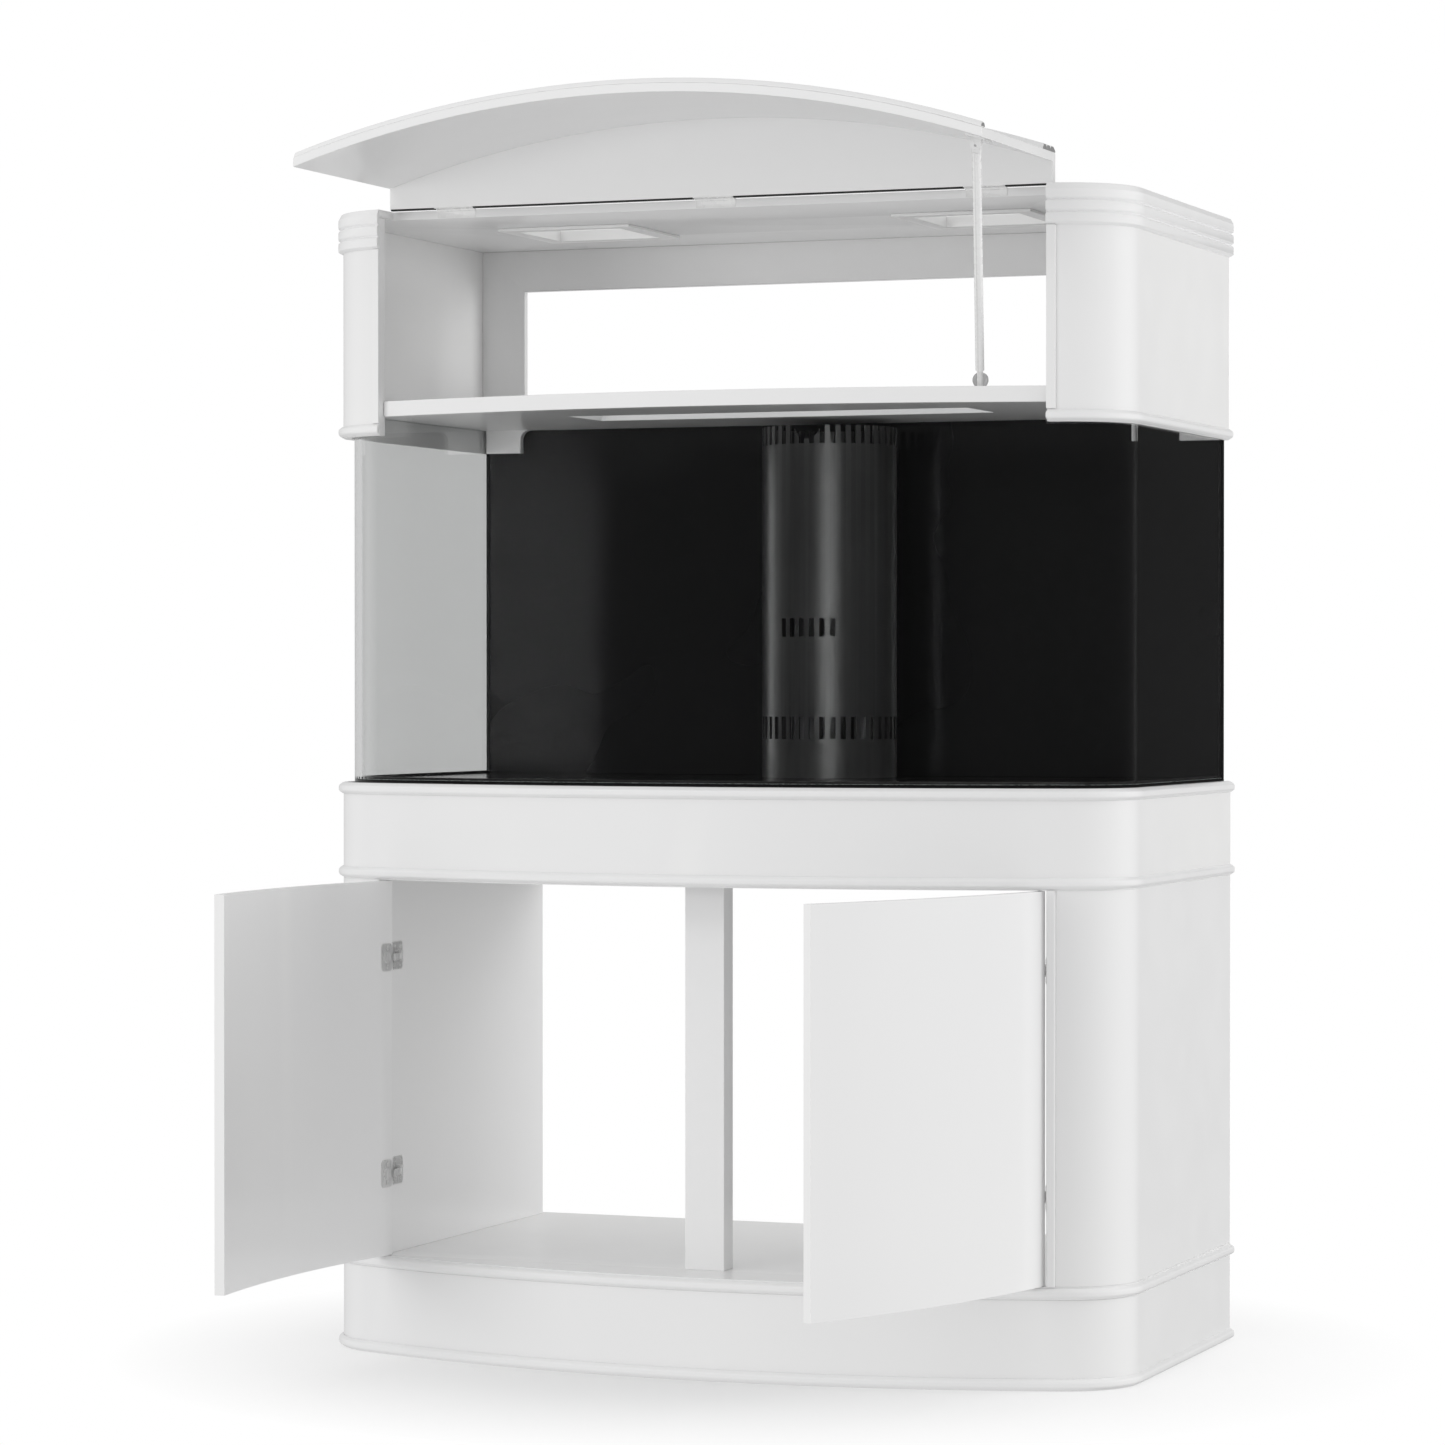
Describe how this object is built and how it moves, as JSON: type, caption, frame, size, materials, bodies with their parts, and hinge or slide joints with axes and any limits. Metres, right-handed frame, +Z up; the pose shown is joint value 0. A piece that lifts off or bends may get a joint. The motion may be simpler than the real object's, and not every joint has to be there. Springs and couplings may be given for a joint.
{
  "type": "aquarium on stand",
  "caption": "Bow-front aquarium on a white lacquered cabinet stand with hinged doors, under a hood whose front lifts on a prop rod; corner-free bent glass and a round overflow tube.",
  "frame": {"origin": "middle of the underside of the base, halfway between the back plane and the front of the bow", "axes": "+Z up, the bowed front faces -Y, +X to the right seen from the front"},
  "size_m": [1.2144, 1.0804, 1.7762],
  "materials": {
    "white_lacquer": "white gloss lacquer on fibreboard",
    "glass": "clear polished",
    "black_glass": "black painted back",
    "silicone": "satin black",
    "black_plastic": "semi-gloss black",
    "grey_pvc": "satin grey",
    "steel": "nickel-plated",
    "white_enamel": "white enamelled steel",
    "chrome": "polished",
    "white_plastic": "satin white"
  },
  "bodies": {
    "cabinet": {"base_bead": "white_lacquer", "base_board": "white_lacquer", "bulkhead_nuts": "grey_pvc", "cabinet_floor": "white_lacquer", "centre_post": "white_lacquer", "door_head_bead": "white_lacquer", "door_hinge_arm_pins": "steel", "door_hinge_plates": "steel", "door_hinge_screws": "steel", "drain_pipe": "grey_pvc", "floor_bead": "white_lacquer", "frieze_band": "white_lacquer", "frieze_rear_rail": "white_lacquer", "hood_back_panel": "white_lacquer", "hood_bead": "white_lacquer", "hood_crown": "white_lacquer", "hood_shelf": "white_lacquer", "hood_stiles": "white_lacquer", "hood_top_panel": "white_lacquer", "left_hood_shell": "white_lacquer", "left_partition": "white_lacquer", "left_side_panel": "white_lacquer", "left_stile": "white_lacquer", "lid_hinge_fixed_leaves": "white_enamel", "lid_hinge_pins": "white_enamel", "light_frames": "white_plastic", "overflow_tube": "black_plastic", "plinth_band": "white_lacquer", "plinth_rear_rail": "white_lacquer", "prop_rod_rest": "chrome", "return_pipe": "grey_pvc", "right_hood_shell": "white_lacquer", "right_partition": "white_lacquer", "right_side_panel": "white_lacquer", "right_stile": "white_lacquer", "silicone_seams": "silicone", "tank_back_pane": "black_glass", "tank_bent_glass": "glass", "tank_bottom_glass": "black_glass", "tank_bulkheads": "grey_pvc", "tank_rim_bead": "white_lacquer", "top_deck": "white_lacquer"},
    "lid": {"lid_front": "white_lacquer", "lid_top": "white_lacquer", "lid_bead": "white_lacquer", "lid_crown": "white_lacquer", "lid_hinge_moving_leaves": "white_enamel", "prop_rod_bracket": "white_enamel", "prop_rod_pin": "chrome"},
    "prop_rod": {"prop_rod": "white_enamel"},
    "left_door": {"left_door": "white_lacquer", "left_door_pivots": "steel", "left_door_hinge_cups": "steel"},
    "right_door": {"right_door": "white_lacquer", "right_door_pivots": "steel", "right_door_hinge_cups": "steel"},
    "left_hinge_arms": {"left_hinge_arms": "steel"},
    "right_hinge_arms": {"right_hinge_arms": "steel"}
  },
  "joints": [
    {"name": "lid_hinge", "type": "hinge", "parent": "cabinet", "child": "lid", "pos_m": [0, -0.21, 1.645], "axis": [1, 0, 0], "range_deg": [0, 90]},
    {"name": "prop_rod_hinge", "type": "hinge", "parent": "lid", "child": "prop_rod", "pos_m": [0.465, -0.451, 1.678], "axis": [0.0967, 0.8226, 0.5603], "range_deg": [0, 88.3]},
    {"name": "left_door_hinge", "type": "hinge", "parent": "cabinet", "child": "left_door", "pos_m": [-0.4905, -0.25025, 0.4], "axis": [0, 0, 1], "range_deg": [-7.2, 82.8]},
    {"name": "right_door_hinge", "type": "hinge", "parent": "cabinet", "child": "right_door", "pos_m": [0.4905, -0.25025, 0.4], "axis": [0, 0, 1], "range_deg": [-61.5, 28.5]},
    {"name": "left_hinge_arms_turn", "type": "hinge", "parent": "cabinet", "child": "left_hinge_arms", "pos_m": [-0.4865, -0.218, 0.4], "axis": [0, 0, 1], "range_deg": [-2.3, 25]},
    {"name": "right_hinge_arms_turn", "type": "hinge", "parent": "cabinet", "child": "right_hinge_arms", "pos_m": [0.4865, -0.218, 0.4], "axis": [0, 0, 1], "range_deg": [-18.6, 8.7]}
  ],
  "couplings": [
    {"joint": "prop_rod_hinge", "follows": "lid_hinge", "ratio": 0.97913},
    {"joint": "left_hinge_arms_turn", "follows": "left_door_hinge", "ratio": 0.3},
    {"joint": "right_hinge_arms_turn", "follows": "right_door_hinge", "ratio": 0.3}
  ]
}
